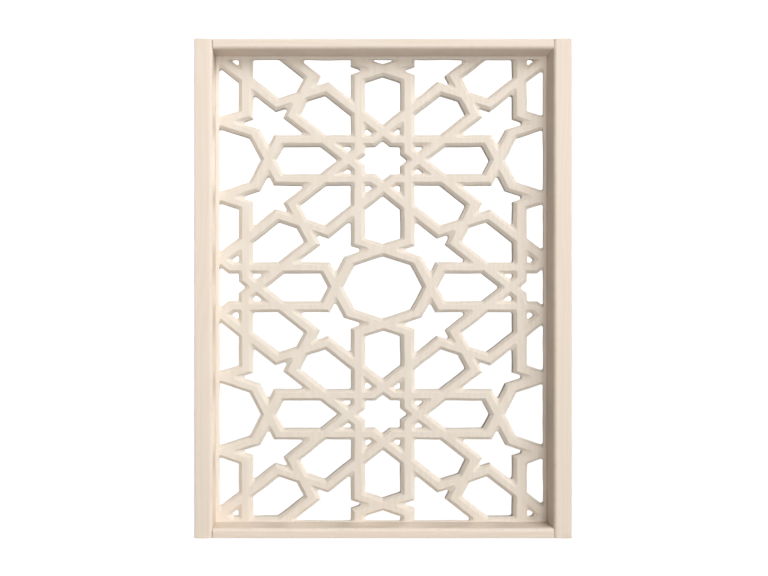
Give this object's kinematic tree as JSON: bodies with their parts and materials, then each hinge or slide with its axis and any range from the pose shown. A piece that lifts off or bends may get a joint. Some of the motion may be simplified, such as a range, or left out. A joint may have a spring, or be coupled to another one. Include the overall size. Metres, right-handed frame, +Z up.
{
  "type": "jali screen",
  "caption": "Pierced lattice screen of eight-petalled rosettes and octagons, set back in a plain wooden frame, to be built into a wall opening.",
  "frame": {"origin": "middle of the underside, on the face that sits on the sill", "axes": "+X right and +Z up as seen from the front, +Y from the front face to the back"},
  "size_m": [0.908, 0.075, 1.2],
  "materials": {
    "frame_wood": "raw pale wood, planed, with fine lengthwise grain",
    "panel_wood": "raw pale wood, sanded, with eased edges"
  },
  "bodies": {
    "root": {"stile_left": "frame_wood", "stile_right": "frame_wood", "rail_top": "frame_wood", "rail_bottom": "frame_wood", "lattice_panel": "panel_wood"}
  },
  "joints": []
}
